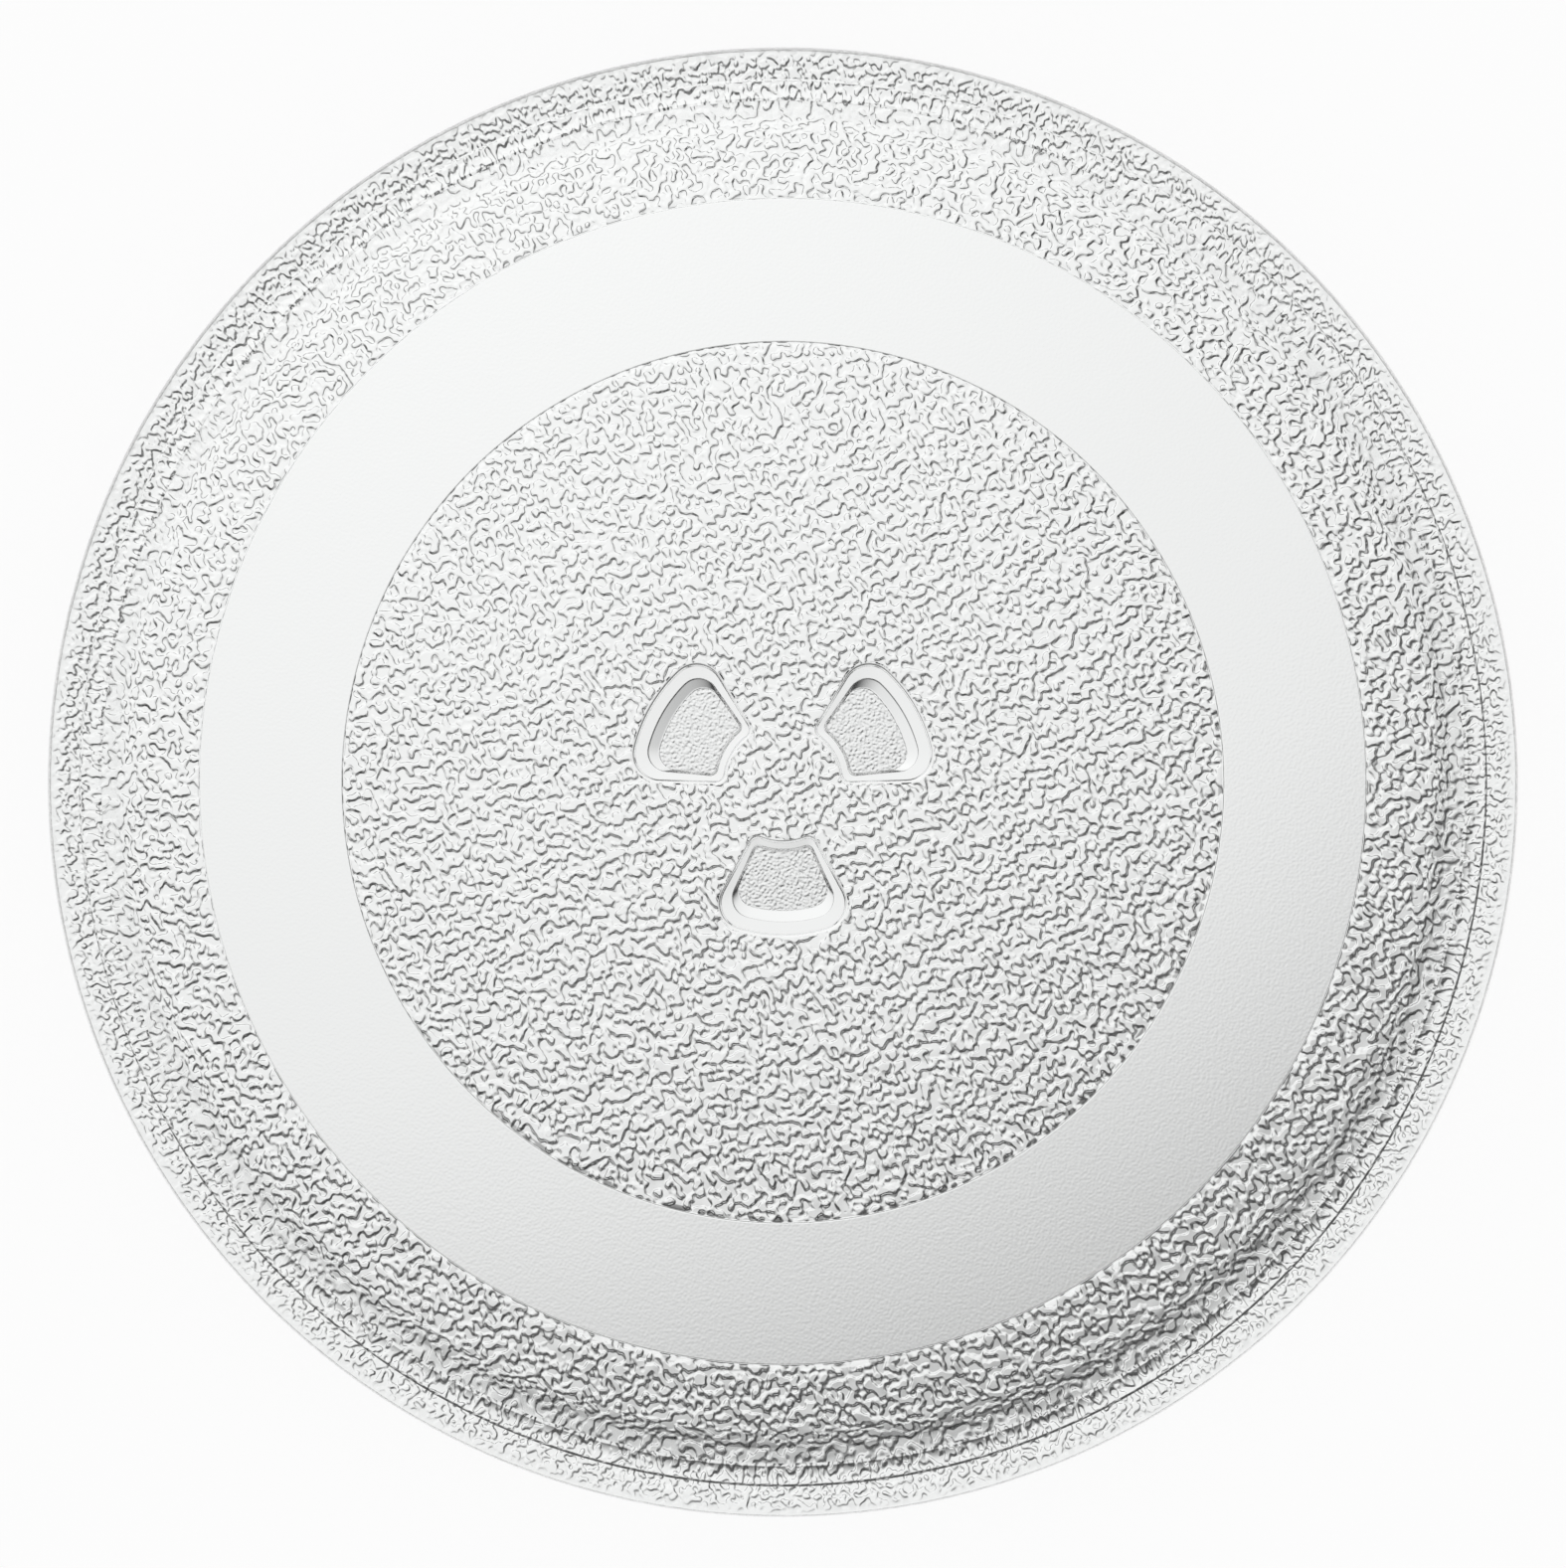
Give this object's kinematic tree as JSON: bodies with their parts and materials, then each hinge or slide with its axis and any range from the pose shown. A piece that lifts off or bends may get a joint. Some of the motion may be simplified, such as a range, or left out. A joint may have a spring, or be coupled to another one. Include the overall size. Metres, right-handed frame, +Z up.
{
  "type": "microwave turntable plate",
  "caption": "Round pressed glass oven plate with a raised rim, a smooth roller track between stippled bands underneath and solid drive lugs under its middle.",
  "frame": {"origin": "on the plate's axis, in the plane of the lugs' feet", "axes": "+Z up along the plate's axis, towards the cooking face; -Y along the middle of one drive lug"},
  "size_m": [0.245, 0.245, 0.02],
  "materials": {
    "clear_glass": "clear pressed soda-lime glass, smooth on top, stippled underneath outside the roller track"
  },
  "bodies": {
    "root": {"turntable_plate": "clear_glass"}
  },
  "joints": []
}
